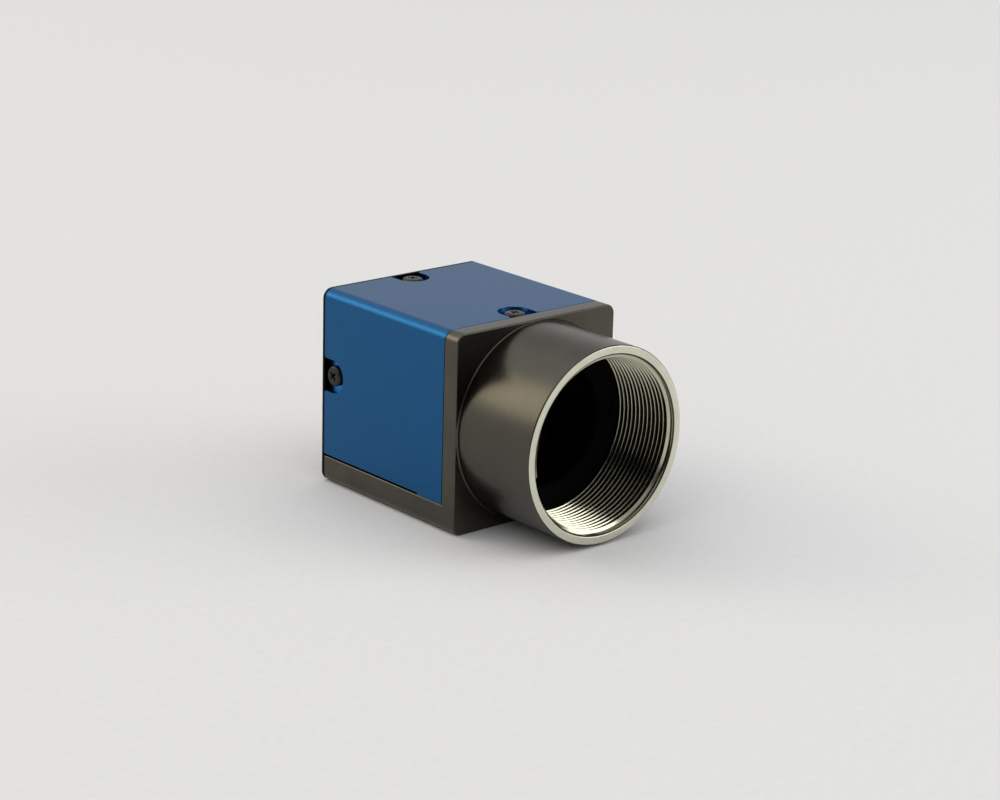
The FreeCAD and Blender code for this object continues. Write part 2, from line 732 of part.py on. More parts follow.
def make_io_socket():
    """Round power and trigger socket: flanged shell, insulating insert and its pins."""
    shell = new_body("io_shell")
    section = new_sketch(shell, "io_shell_section", "YZ_Plane", height="io_place", up="io_height")
    draw_polygon(section, [
        ("block_front", "io_bore"),
        ("rear_face + io_length", "io_bore"),
        ("rear_face + io_length", "io_radius"),
        ("rear_face + io_flange_thick", "io_radius"),
        ("rear_face + io_flange_thick", "io_flange_radius"),
        ("rear_face", "io_flange_radius"),
        ("rear_face", "io_radius"),
        ("block_front", "io_radius"),
    ])
    revolve(shell, "io_shell_turned", section)

    insert = new_body("io_insert")
    face = cross_section(insert, "io_insert_face", "rear_face - io_insert_recess")
    draw_circle(face, "io_bore - fit_gap", "io_place", "io_height")
    pad(insert, "io_insert_pad", face, "rear_face - io_insert_recess - block_front")

    pin = doc.addObject("Part::Prism", "io_pin")
    pin.Label = "io_pin_pattern"
    pin.Polygon = IO_PIN_SIDES
    bind(pin, "Circumradius", "io_pin_radius")
    bind(pin, "Height", "io_pin_length")
    upright = FreeCAD.Rotation(FreeCAD.Vector(1, 0, 0), -90)
    copies = []
    for number in range(IO_PIN_COUNT):
        angle = 360 * (number + 0.5) / IO_PIN_COUNT
        copy = doc.addObject("App::Link", f"io_pin_{number + 1}")
        copy.LinkedObject = pin
        copy.Placement = FreeCAD.Placement(FreeCAD.Vector(), upright)
        bind(copy, "Placement.Base.x", f"io_place + io_pin_circle * cos({angle})")
        bind(copy, "Placement.Base.y", "rear_face - io_insert_recess")
        bind(copy, "Placement.Base.z", f"io_height + io_pin_circle * sin({angle})")
        copies.append(copy)
    group = doc.addObject("Part::Compound", "io_pins")
    group.Label = "io_pins"
    group.Links = copies


def make_status_light():
    """Light pipe through the rear plate with a low bevelled end."""
    body = new_body("status_light")
    section = new_sketch(body, "light_section", "YZ_Plane", height="light_place",
                         up="light_height")
    draw_polygon(section, [
        ("block_front", "0"),
        ("rear_face + light_dome", "0"),
        ("rear_face + light_dome", "light_radius - light_dome"),
        ("rear_face", "light_radius"),
        ("block_front", "light_radius"),
    ])
    revolve(body, "light_turned", section)


# ---------------------------------------------------------------- screws

TOWARD_REAR = FreeCAD.Rotation(FreeCAD.Vector(1, 0, 0), -90)
TOWARD_LEFT = FreeCAD.Rotation(FreeCAD.Vector(0, 1, 0), -90)
TOWARD_RIGHT = FreeCAD.Rotation(FreeCAD.Vector(0, 1, 0), 90)
UPWARD = FreeCAD.Rotation()


def cut_cross(body, label, top):
    """Cross recess in a head, from its top down."""
    cross = new_sketch(body, f"{label}_cross", "XY_Plane", height=top)
    arm = "cross_width / 2"
    reach = "cross_span / 2"
    corners = []
    for x, y in ((-1, 1), (1, 1), (1, -1), (-1, -1)):
        near_x, near_y = f"{x} * {arm}", f"{y} * {arm}"
        far_x, far_y = f"{x} * {reach}", f"{y} * {reach}"
        quarter = [(far_x, near_y), (near_x, near_y), (near_x, far_y)]
        corners += quarter if x * y < 0 else quarter[::-1]
    draw_polygon(cross, corners)
    pocket(body, f"{label}_cross_cut", cross, "cross_depth")


def make_screw(label, reach, facing, x, y, z, flat_head=False):
    """Small cross-head screw, head up in its own frame, turned to face outwards.

    The underside of a pan head, or the top of a countersunk head, is its own origin plane.
    """
    body = new_body(label)
    section = new_sketch(body, f"{label}_section", "XZ_Plane")
    if flat_head:
        outline = [("0", f"-({reach})"), ("shank_radius", f"-({reach})"),
                   ("shank_radius", "-rear_lip"), ("head_radius", "0"), ("0", "0")]
        top = "0"
    else:
        outline = [("0", f"-({reach})"), ("shank_radius", f"-({reach})"),
                   ("shank_radius", "0"), ("head_radius", "0"),
                   ("head_radius", "head_height"), ("0", "head_height")]
        top = "head_height"
    draw_polygon(section, outline)
    turned = add_feature(body, "Revolution", f"{label}_turned", section)
    turned.ReferenceAxis = (section, ["V_Axis"])
    turned.Angle = 360.0
    doc.recompute()
    cut_cross(body, label, top)
    body.Placement = FreeCAD.Placement(FreeCAD.Vector(), facing)
    for axis, place in (("x", x), ("y", y), ("z", z)):
        bind(body, f"Placement.Base.{axis}", place)


def make_screws():
    cover_reach = "cover_wall - recess_depth + fit_gap + cover_screw_reach"
    seat = "half_width - recess_depth"
    make_screw("cover_screw_top_front", cover_reach, UPWARD, "0", "front_screw", "recess_floor")
    make_screw("cover_screw_top_rear", cover_reach, UPWARD, "0", "rear_screw", "recess_floor")
    make_screw("cover_screw_left", cover_reach, TOWARD_LEFT,
               f"-({seat})", "rear_screw", "side_screw_height")
    make_screw("cover_screw_right", cover_reach, TOWARD_RIGHT,
               seat, "rear_screw", "side_screw_height")

    for side, x in zip(("left", "right"), both_sides("rear_screw_place")):
        make_screw(f"rear_screw_{side}", "rear_screw_reach", TOWARD_REAR, x, "rear_face",
                   "rear_screw_height", flat_head=True)


# ---------------------------------------------------------------- assembly

def make_camera():
    make_chassis()
    make_cover()
    make_rear_plate()
    make_barrel()
    make_disc("filter_glass", "filter_front", "filter_floor", "filter_radius")
    make_filter_ring()
    make_package()
    make_block("sensor_die", "sensor_plane", "sensor_plane + die_thick",
               "die_size / 2", "die_size / 2")
    make_block("sensor_window", "package_front - window_thick", "package_front",
               "window_half", "window_half")
    make_boards()
    make_usb_socket()
    make_io_socket()
    make_status_light()
    make_screws()


def finished_pieces():
    """Every piece to be written: the bodies and the group of pins."""
    doc.recompute()
    for item in doc.Objects:
        failed = [state for state in item.State if state in ("Invalid", "Error")]
        if failed:
            raise RuntimeError(f"{item.Name} is {failed}")
    pieces = [item for item in doc.Objects
              if item.TypeId in ("PartDesign::Body", "Part::Compound")]
    for piece in pieces:
        if piece.Shape.isNull() or not piece.Shape.isValid():
            raise RuntimeError(f"{piece.Label} has no valid shape")
    return pieces


make_camera()
os.makedirs("parts", exist_ok=True)
for piece in finished_pieces():
    piece.Shape.exportStep(f"parts/{piece.Label}.step")
    print(f"{piece.Label}: {len(piece.Shape.Solids)} solid(s), {piece.Shape.Volume:.2f} mm3")
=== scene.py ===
"""Looks of the machine vision camera: its housing, threaded lens barrel and rear sockets.

Metres, +Z up. The lens barrel points along -Y and the sockets are on the +Y side.
Sizes that only the looks need are written in millimetres and turned to metres where used.
"""
import math

import bmesh
import bpy
from mathutils import Matrix, Vector


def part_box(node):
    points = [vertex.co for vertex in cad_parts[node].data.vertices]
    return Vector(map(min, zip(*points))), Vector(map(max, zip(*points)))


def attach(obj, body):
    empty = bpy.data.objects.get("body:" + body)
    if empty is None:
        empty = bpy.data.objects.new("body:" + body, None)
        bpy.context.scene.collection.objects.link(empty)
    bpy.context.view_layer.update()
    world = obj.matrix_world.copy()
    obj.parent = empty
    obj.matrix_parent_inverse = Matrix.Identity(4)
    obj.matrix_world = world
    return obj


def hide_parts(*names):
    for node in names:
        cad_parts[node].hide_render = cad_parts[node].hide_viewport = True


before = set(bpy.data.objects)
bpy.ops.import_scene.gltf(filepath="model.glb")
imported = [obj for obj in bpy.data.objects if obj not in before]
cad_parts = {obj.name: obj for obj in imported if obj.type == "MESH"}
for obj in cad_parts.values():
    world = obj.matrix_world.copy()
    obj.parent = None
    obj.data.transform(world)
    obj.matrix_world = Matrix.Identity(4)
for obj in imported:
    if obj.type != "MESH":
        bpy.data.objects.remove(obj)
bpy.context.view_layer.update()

MM = 0.001

# ---------------------------------------------------------------- places taken from the frame

CHASSIS_LOW, _ = (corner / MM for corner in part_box("front_chassis"))
COVER_LOW, COVER_HIGH = (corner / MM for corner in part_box("top_cover"))
_, REAR_HIGH = (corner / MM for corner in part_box("rear_plate"))
BARREL_LOW, BARREL_HIGH = (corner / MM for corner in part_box("lens_barrel"))
IO_LOW, IO_HIGH = (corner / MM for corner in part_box("io_shell"))
USB_LOW, USB_HIGH = (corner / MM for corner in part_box("usb_shell"))
LIGHT_LOW, LIGHT_HIGH = (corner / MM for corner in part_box("status_light"))
_, GLASS_HIGH = (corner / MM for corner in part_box("filter_glass"))
PINS_LOW, PINS_HIGH = (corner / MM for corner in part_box("io_pins"))

HALF = COVER_HIGH.x
TOP = COVER_HIGH.z
BASE_TOP = COVER_LOW.z
PLATE_BACK = COVER_LOW.y
COVER_BACK = COVER_HIGH.y
REAR_FACE = REAR_HIGH.y
BOSS_FACE = CHASSIS_LOW.y
BOSS_HEIGHT = 0.3
FRONT_FACE = BOSS_FACE + BOSS_HEIGHT
AXIS = (BARREL_LOW.z + BARREL_HIGH.z) / 2
BARREL_FRONT = BARREL_LOW.y
BARREL_RADIUS = BARREL_HIGH.x
BOSS_RADIUS = BARREL_RADIUS + BOSS_HEIGHT

# ---------------------------------------------------------------- sizes in millimetres

# Housing: the chassis, the cover over it and the plate that closes it.
CORNER = 1.5
MILLED_ROUND = 0.2
COVER_WALL = 1.6
INNER_CORNER = 0.5
SLIDE_GAP = 0.05
INNER_HALF = HALF - COVER_WALL - SLIDE_GAP
INNER_TOP = TOP - COVER_WALL - SLIDE_GAP
RAIL_TOP = BASE_TOP + 1.2
SEAM = 0.3
SEAM_START = FRONT_FACE + 8.0
SENSOR_OPENING = 6.4
BASE_HOLE_RADIUS = 1.25
BASE_HOLE_PLACE = 10.0
BASE_HOLE_DEPTH = 3.0
BASE_HOLE_CHAMFER = 0.3
REAR_BLOCK = 2.0
PAST = 1.0  # how far a cutter runs past the face that it cuts

# Recesses round the cover's screws.
RECESS_DEPTH = 1.0
RECESS_RADIUS = 2.45
RECESS_FLARE = 0.45
RECESS_RUN = 4.0  # from the screw out past the cover's edge
FRONT_SCREW = FRONT_FACE + 4.85
REAR_SCREW = REAR_FACE - 2.4
SIDE_SCREW = AXIS + 1.9

# Screws.
SHANK_RADIUS = 0.8
HEAD_RADIUS = 1.5
HEAD_HEIGHT = 0.9
FLUSH_RIM = 0.04
CROSS_WIDTH = 0.42
REAR_SCREW_PLACE = HALF - 4.0
REAR_SCREW_HEIGHT = 2.1
SEAT_RADIUS = HEAD_RADIUS + 0.075
SEAT_DEPTH = 0.5

# Lens barrel, its boss and its thread.
BARREL_SIDES = 192
BARREL_CHAMFER = 0.15
BOSS_CHAMFER = 0.14
BORE_RADIUS = 12.7
MOUTH_CHAMFER = 0.27
FILTER_SEAT_RADIUS = 11.8
APERTURE_RADIUS = 8.0
SPIGOT_RADIUS = 12.9
SPIGOT_BORE = 12.95
SPIGOT_END = BARREL_HIGH.y
THREAD_PITCH = 0.794
THREAD_TURNS = 13
THREAD_CREST = 12.27
THREAD_SUNK = 0.03  # how far the ridge's root sinks into the wall
THREAD_HALF_ROOT = 0.34
THREAD_HALF_CREST = 0.12
THREAD_RUN_IN = 0.55
THREAD_LENGTH = 11.2
THREAD_START = math.radians(170)  # puts the ridge's two ends on the hidden side of the bore

# Rear sockets and light.
USB_CORNER = 0.7
USB_NOTCH = (1.35, 2.05)  # from and to, across
USB_NOTCH_DEPTH = 0.8
LOCK_HOLE_PLACE = 9.25
LOCK_HOLE_RADIUS = 0.8
LOCK_HOLE_CHAMFER = 0.2
IO_RADIUS = 4.4
IO_BORE = 3.6
IO_FLANGE = 5.1
IO_FLANGE_THICK = 0.6
IO_PINS = 6
IO_PIN_CIRCLE = 2.0
IO_PIN_RADIUS = 0.4
LIGHT_RADIUS = 0.9


# ---------------------------------------------------------------- modelling helpers

def metres(*place):
    """Millimetres turned to metres."""
    return tuple(number * MM for number in place)


def named(name):
    """Name the piece that was just added, with its place put in its mesh."""
    piece = bpy.context.object
    piece.name = name
    piece.data.name = name
    bpy.ops.object.transform_apply(location=True, rotation=True, scale=True)
    return piece


def box(name, low, high):
    """Block between two corners, in millimetres."""
    bpy.ops.object.select_all(action="DESELECT")
    middle = [(first + last) / 2 for first, last in zip(low, high)]
    bpy.ops.mesh.primitive_cube_add(size=1, location=metres(*middle))
    bpy.context.object.scale = metres(*[last - first for first, last in zip(low, high)])
    return named(name)


def edit(piece):
    """Open one piece in edit mode, with nothing else selected."""
    bpy.ops.object.select_all(action="DESELECT")
    bpy.context.view_layer.objects.active = piece
    piece.select_set(True)
    bpy.ops.object.mode_set(mode="EDIT")


def done(piece):
    """Leave edit mode with every face of a closed piece pointing out."""
    bpy.ops.mesh.select_all(action="SELECT")
    bpy.ops.mesh.normals_make_consistent(inside=False)
    bpy.ops.object.mode_set(mode="OBJECT")
    return piece


def pick(piece, kind, chosen):
    """Select the vertices, edges or faces that `chosen` accepts by their middle and direction."""
    bpy.ops.mesh.select_mode(type=kind)
    bpy.ops.mesh.select_all(action="DESELECT")
    mesh = bmesh.from_edit_mesh(piece.data)
    if kind == "VERT":
        for vertex in mesh.verts:
            vertex.select_set(chosen(vertex.co / MM))
    elif kind == "EDGE":
        for edge in mesh.edges:
            first, last = (vertex.co / MM for vertex in edge.verts)
            edge.select_set(chosen((first + last) / 2, last - first))
    else:
        for face in mesh.faces:
            face.select_set(chosen(face.calc_center_median() / MM, face.normal))
    mesh.select_flush_mode()
    bmesh.update_edit_mesh(piece.data)


def along(direction, axis):
    """Whether an edge runs along one axis, 0 for X, 1 for Y and 2 for Z."""
    return abs(direction[axis]) > 0.999 * direction.length > 0


def near(first, second, slack=0.01):
    """Whether two places are the same to a hundredth of a millimetre."""
    return abs(first - second) < slack


def apply_modifier(piece, kind, **settings):
    """Finish a piece with one modifier, applied at once."""
    bpy.ops.object.select_all(action="DESELECT")
    bpy.context.view_layer.objects.active = piece
    piece.select_set(True)
    modifier = piece.modifiers.new(kind.lower(), kind)
    for setting, value in settings.items():
        setattr(modifier, setting, value)
    bpy.ops.object.modifier_apply(modifier=modifier.name)


def soften(piece, width, segments=2):
    """Break every sharp edge by a small round, as a deburred or blasted edge has."""
    apply_modifier(piece, "BEVEL", width=width * MM, segments=segments, limit_method="ANGLE",
                   angle_limit=math.radians(35), use_clamp_overlap=True)


def cut(piece, *cutters):
    """Take cutters out of a piece, one by one, and delete them."""
    for cutter in cutters:
        apply_modifier(piece, "BOOLEAN", operation="DIFFERENCE", solver="EXACT", object=cutter)
        bpy.data.objects.remove(cutter)
    return piece


def shade(piece):
    """Smooth the rounds and keep the flats flat."""
    bpy.ops.object.select_all(action="DESELECT")
    bpy.context.view_layer.objects.active = piece
    piece.select_set(True)
    bpy.ops.object.shade_smooth_by_angle(angle=math.radians(40))
    apply_modifier(piece, "WEIGHTED_NORMAL", mode="FACE_AREA", weight=100, keep_sharp=True)


def rings(name, profile, x, z, sides, tube=True):
    """Piece turned about a line along Y at x and z: a ring drawn out along (radius, y) points.

    A tube's last ring joins its first, and a solid piece is capped at both ends.
    """
    bpy.ops.object.select_all(action="DESELECT")
    radius, y = profile[0]
    bpy.ops.mesh.primitive_circle_add(vertices=sides, radius=radius * MM,
                                      location=metres(x, y, z), rotation=(math.pi / 2, 0, 0))
    piece = named(name)
    edit(piece)
    bpy.ops.mesh.select_mode(type="EDGE")
    bpy.ops.mesh.select_all(action="SELECT")
    if not tube:
        bpy.ops.mesh.edge_face_add()
    for (last_radius, last_y), (radius, y) in zip(profile, profile[1:]):
        bpy.ops.mesh.extrude_edges_move(TRANSFORM_OT_translate={"value": metres(0, y - last_y, 0)})
        grow = radius / last_radius
        bpy.ops.transform.resize(value=(grow, 1, grow), center_override=metres(x, y, z))
    if tube:
        bpy.ops.mesh.select_all(action="DESELECT")
        bpy.ops.mesh.select_non_manifold()
        bpy.ops.mesh.bridge_edge_loops()
    else:
        bpy.ops.mesh.edge_face_add()
    return done(piece)


def rod(name, radius, low, high, axis, sides=64, tip=None):
    """Round cutter between two points on a line along X, Y or Z, with a wider or narrower tip."""
    bpy.ops.object.select_all(action="DESELECT")
    low, high = Vector(low), Vector(high)
    turn = {"X": (0, math.pi / 2, 0), "Y": (-math.pi / 2, 0, 0), "Z": (0, 0, 0)}[axis]
    bpy.ops.mesh.primitive_cone_add(
        vertices=sides, radius1=radius * MM, radius2=(radius if tip is None else tip) * MM,
        depth=(high - low).length * MM, location=metres(*((low + high) / 2)), rotation=turn)
    return named(name)


def slot_cutter(name, radius, low, high, axis, stretch):
    """Round cutter whose one half is drawn out by `stretch`, which makes it a slot."""
    cutter = rod(name, radius, low, high, axis, sides=96)
    middle = (Vector(low) + Vector(high)) / 2
    edit(cutter)
    pick(cutter, "VERT", lambda spot: (spot - middle).dot(Vector(stretch)) > 1e-4)
    bpy.ops.transform.translate(value=metres(*stretch))
    return done(cutter)


def keep(piece, material, slot, *nodes):
    """Finish a piece: its material, its place on the body and the nodes that it stands for."""
    shade(piece)
    if not piece.data.materials:
        piece.data.materials.append(material)
    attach(piece, "root")
    if nodes:
        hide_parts(*nodes)
    return piece


def face_material(piece, material, chosen):
    """Give a second finish to the faces that `chosen` accepts by their middle and normal."""
    piece.data.materials.append(material)
    number = len(piece.data.materials) - 1
    for face in piece.data.polygons:
        if chosen(face.center / MM, face.normal):
            face.material_index = number


# ---------------------------------------------------------------- materials

DEEPEST_RELIEF = 0.02  # millimetres


def linear(code):
    """Linear colour of an sRGB hex code."""
    channels = [int(code[place:place + 2], 16) / 255 for place in (0, 2, 4)]
    return tuple(
        value / 12.92 if value <= 0.04045 else ((value + 0.055) / 1.055) ** 2.4
        for value in channels) + (1.0,)


def add(tree, kind, inputs=None, **settings):
    """Add a node with its settings, and its inputs given as values or as sockets to link."""
    node = tree.nodes.new(kind)
    for setting, value in settings.items():
        setattr(node, setting, value)
    for place, value in (inputs or {}).items():
        if isinstance(value, bpy.types.NodeSocket):
            tree.links.new(value, node.inputs[place])
        else:
            node.inputs[place].default_value = value
    return node


def blank(name):
    """New material with nothing in it but its output."""
    material = bpy.data.materials.new(name)
    material.use_nodes = True
    tree = material.node_tree
    tree.nodes.clear()
    return material, tree, tree.nodes.new("ShaderNodeOutputMaterial")


def grain_scale(size):
    """Noise scale whose grain is about `size` millimetres."""
    return 1 / (size * MM)


def two_tone(tree, pattern, dark, light):
    """Colour that drifts between two with a pattern, whose middle range is stretched."""
    share = add(tree, "ShaderNodeMapRange", {"Value": pattern, "From Min": 0.3,
                                             "From Max": 0.7})
    colour = add(tree, "ShaderNodeMix", {0: share.outputs["Result"], 6: linear(dark),
                                         7: linear(light)}, data_type="RGBA")
    return colour.outputs[2]


def finish(tree, output, pattern, colour, rough, spread, depth, extra):
    """Shader whose relief and gloss follow one fine pattern, `depth` being the relief's share."""
    bump = add(tree, "ShaderNodeBump", {"Height": pattern, "Strength": depth,
                                        "Distance": DEEPEST_RELIEF * MM})
    gloss = add(tree, "ShaderNodeMapRange", {"Value": pattern, "From Min": 0.3, "From Max": 0.7,
                                             "To Min": rough - spread, "To Max": rough + spread})
    inputs = {"Base Color": colour, "Roughness": gloss.outputs["Result"],
              "Normal": bump.outputs["Normal"]}
    inputs.update(extra)
    shader = add(tree, "ShaderNodeBsdfPrincipled", inputs)
    tree.links.new(shader.outputs["BSDF"], output.inputs["Surface"])


def metal(name, dark, light, texture, cloud, rough, spread, depth, turned=0.0):
    """Metal with a fine texture and a tone that drifts; turning draws its highlights out."""
    material, tree, output = blank(name)
    extra = {"Metallic": 1.0}
    if turned:
        round_axis = add(tree, "ShaderNodeTangent", direction_type="RADIAL", axis="Y")
        extra["Tangent"] = round_axis.outputs["Tangent"]
        extra["Anisotropic"] = turned
    colour = two_tone(tree, cloud(tree), dark, light)
    finish(tree, output, texture(tree), colour, rough, spread, depth, extra)
    return material


def plastic(name, dark, light, size, rough, depth, **extra):
    """Moulded, coated or polished surface of anything but metal, with one even grain."""
    material, tree, output = blank(name)
    pattern = grain(size, 3.0)(tree)
    colour = two_tone(tree, pattern, dark, light)
    finish(tree, output, pattern, colour, rough, 0.04, depth, extra)
    return material


def grain(size, detail=4.0):
    """Texture of an even grain, as beads or a moulding tool leave it."""
    def texture(tree):
        place = add(tree, "ShaderNodeTexCoord").outputs["Object"]
        return add(tree, "ShaderNodeTexNoise", {"Vector": place, "Scale": grain_scale(size),
                                                "Detail": detail}).outputs["Fac"]
    return texture


def lathe_lines(size):
    """Texture of lines round the lens axis, on turned sides and faced ends alike."""
    def texture(tree):
        place = add(tree, "ShaderNodeTexCoord").outputs["Object"]
        centred = add(tree, "ShaderNodeMapping", {"Vector": place,
                                                  "Location": metres(0, 0, -AXIS)})
        parts = add(tree, "ShaderNodeSeparateXYZ", {"Vector": centred.outputs["Vector"]})
        flat = add(tree, "ShaderNodeCombineXYZ", {"X": parts.outputs["X"],
                                                  "Y": parts.outputs["Z"]})
        radius = add(tree, "ShaderNodeVectorMath", {0: flat.outputs["Vector"]},
                     operation="LENGTH")
        feed = add(tree, "ShaderNodeMath", {0: radius.outputs["Value"], 1: parts.outputs["Y"]},
                   operation="ADD")
        return add(tree, "ShaderNodeTexNoise", {"W": feed.outputs["Value"],
                                                "Scale": grain_scale(size), "Detail": 3.0},
                   noise_dimensions="1D").outputs["Fac"]
    return texture


# Sizes of the fine patterns, in millimetres. On the real finishes a bead's dent, a cutter's
# mark, a lathe's feed, the grain of a plating and a mould's texture are about 0.02 to 0.08 wide.
# That is too fine to show in the render, so each is drawn as coarse as it needs to show.
BEAD_DENT = 0.25
CUTTER_MARK = 0.20
TURNING_FEED = 0.16
FACING_FEED = 0.12
THREADING_FEED = 0.10
PLATED_GRAIN = 0.15
GOLD_GRAIN = 0.12
MOULDED_GRAIN = 0.1
MATT_GRAIN = 0.15

# Cover: aluminium sheet, blasted with fine beads and dyed blue, which leaves a satin that
# pales where the light grazes it.
blue_anodised = metal("blue_anodised_aluminium", "1C5583", "1F598B", grain(BEAD_DENT),
                      grain(0.6, 8.0), 0.36, 0.04, 0.4)
# Recesses round the cover's screws: milled after blasting, which leaves a mere trace of the
# beads' dents, so smoother. Their lighter blue is partly that milled brightness and partly
# a painted highlight, of the recess walls catching the light from above.
blue_milled_highlit = metal("blue_anodised_milled_highlit", "2A72AC", "2F78B4", grain(BEAD_DENT), grain(1.0),
                    0.26, 0.03, 0.1)
# Chassis: milled aluminium in a brownish dark grey anodic finish, with an even, soft sheen.
gunmetal_milled = metal("gunmetal_anodised_milled", "504C45", "57544B", grain(CUTTER_MARK),
                        grain(6.0), 0.30, 0.03, 0.2)
# Barrel: the same finish over lathe marks, which draw the highlights out along it.
gunmetal_turned = metal("gunmetal_anodised_turned", "4B4942", "504E46",
                        lathe_lines(TURNING_FEED), grain(5.0), 0.30, 0.03, 0.16, turned=0.35)
# Barrel's front ring: bare aluminium, faced bright after anodising. The chamfers on both sides
# of it keep the barrel's dark anodised finish, and that dark is also painted shade, of the
# thread's first groove and of the barrel's outer edge.
bare_faced = metal("bare_aluminium_faced", "D3D3C0", "DFDFCD", lathe_lines(FACING_FEED),
                   grain(3.0), 0.26, 0.06, 0.3, turned=0.6)
# Thread: bare aluminium as the threading tool left it, darker and glossier than the faced ring.
bare_threaded = metal("bare_aluminium_threaded", "B6B49E", "C2C0AA",
                      lathe_lines(THREADING_FEED), grain(3.0), 0.18, 0.03, 0.05)
# Rear plate: black anodised, a flat satin with hardly a highlight.
black_anodised = metal("black_anodised_aluminium", "111111", "171717", grain(CUTTER_MARK),
                       grain(5.0), 0.45, 0.04, 0.25)
# Inside of the barrel: deep matt black, which keeps stray light off the sensor.
bore_black = plastic("matt_black_bore", "050505", "080808", MATT_GRAIN, 0.85, 0.3,
                     **{"Specular IOR Level": 0.1})
# Screws: steel, black zinc plated, a dark shine with a brown cast.
screw_steel = metal("black_zinc_steel", "33312E", "413F3B", grain(PLATED_GRAIN), grain(1.0),
                    0.34, 0.05, 0.15)
# Socket shells: nickel-plated steel, a warm grey shine.
nickel_plate = metal("nickel_plated_steel", "B9B7AE", "C7C5BC", grain(PLATED_GRAIN), grain(2.0),
                     0.24, 0.04, 0.1)
# Pins: hard gold on brass, a warm yellow shine.
contact_gold = metal("hard_gold_plate", "C39B52", "D2AB60", grain(GOLD_GRAIN), grain(1.0),
                     0.22, 0.04, 0.1)
# Inserts of the sockets, and the boards' link connectors: black moulded nylon, dull with a
# fine even texture.
black_nylon = plastic("moulded_black_nylon", "141414", "1B1B1B", MOULDED_GRAIN, 0.48, 0.2)
# Light pipe: clear moulded polycarbonate with a lightly frosted end.
light_pipe = plastic("frosted_polycarbonate", "B9CBBE", "C6D6CA", 0.3, 0.3, 0.1,
                     **{"Transmission Weight": 0.55, "IOR": 1.58})
# Filter: polished glass, dark under its coatings. The low index stands for those coatings,
# so that it hardly mirrors the thread.
filter_glass = plastic("coated_optical_glass", "5E6E6B", "647471", 4.0, 0.06, 0.0,
                       **{"Transmission Weight": 1.0, "IOR": 1.05})
# Sensor's cover glass: clear and polished.
window_glass = plastic("clear_cover_glass", "E4EAE8", "E9EEEC", 4.0, 0.06, 0.0,
                       **{"Transmission Weight": 1.0, "IOR": 1.51})
# Sensor: polished silicon, dark violet under its colour filters.
sensor_silicon = metal("polished_silicon", "2B2233", "33283D", grain(0.5), grain(3.0),
                       0.18, 0.02, 0.02)
# Sensor package: sintered dark ceramic, matt like fired clay.
package_ceramic = plastic("sintered_ceramic", "39363B", "413E43", MATT_GRAIN, 0.6, 0.2)
# Boards: glass fibre under a smooth, half-gloss green solder mask.
circuit_board = plastic("green_solder_mask", "0F3A28", "154733", 0.6, 0.35, 0.1)
# Chips: moulded epoxy, dull and near black.
chip_epoxy = plastic("moulded_epoxy", "1C1C1E", "242426", MOULDED_GRAIN, 0.55, 0.2)
# Posts between the boards: nickel-plated brass, pale with a yellow cast.
post_brass = metal("nickel_plated_brass", "A8A08A", "B5AD97", grain(CUTTER_MARK), grain(2.0),
                   0.3, 0.04, 0.1)


# ---------------------------------------------------------------- lens barrel

def make_barrel():
    """Turned barrel with its bore, filter seat and spigot."""
    thread_end = BARREL_FRONT + THREAD_LENGTH
    filter_floor = GLASS_HIGH.y
    profile = [
        (BORE_RADIUS + MOUTH_CHAMFER, BARREL_FRONT),
        (BORE_RADIUS, BARREL_FRONT + MOUTH_CHAMFER),
        (BORE_RADIUS, thread_end),
        (FILTER_SEAT_RADIUS, thread_end),
        (FILTER_SEAT_RADIUS, filter_floor),
        (APERTURE_RADIUS, filter_floor),
        (APERTURE_RADIUS, SPIGOT_END),
        (SPIGOT_RADIUS, SPIGOT_END),
        (SPIGOT_RADIUS, BOSS_FACE),
        (BARREL_RADIUS, BOSS_FACE),
        (BARREL_RADIUS, BARREL_FRONT + BARREL_CHAMFER),
        (BARREL_RADIUS - BARREL_CHAMFER, BARREL_FRONT),
    ]
    barrel = rings("barrel_turned", profile, 0, AXIS, sides=BARREL_SIDES)
    edge_round, skin = 0.05, 0.3
    soften(barrel, edge_round)
    barrel.data.materials.append(gunmetal_turned)

    def radius(middle):
        return math.hypot(middle.x, middle.z - AXIS)

    # The faced ring stops short of both chamfers, which keep the dark finish as painted shade.
    def faced(middle, normal):
        at_front = middle.y < BARREL_FRONT + edge_round and normal.y < -0.5
        return at_front and radius(middle) > BORE_RADIUS

    def cut_bore(middle, normal):
        return radius(middle) < BORE_RADIUS + edge_round and middle.y < thread_end - edge_round

    def black(middle, normal):
        inside = radius(middle) < BARREL_RADIUS - skin
        return inside and middle.y > thread_end - edge_round
    face_material(barrel, bare_threaded, cut_bore)
    face_material(barrel, bare_faced, faced)
    face_material(barrel, bore_black, black)
    return keep(barrel, gunmetal_turned, "gunmetal_anodised", "lens_barrel")


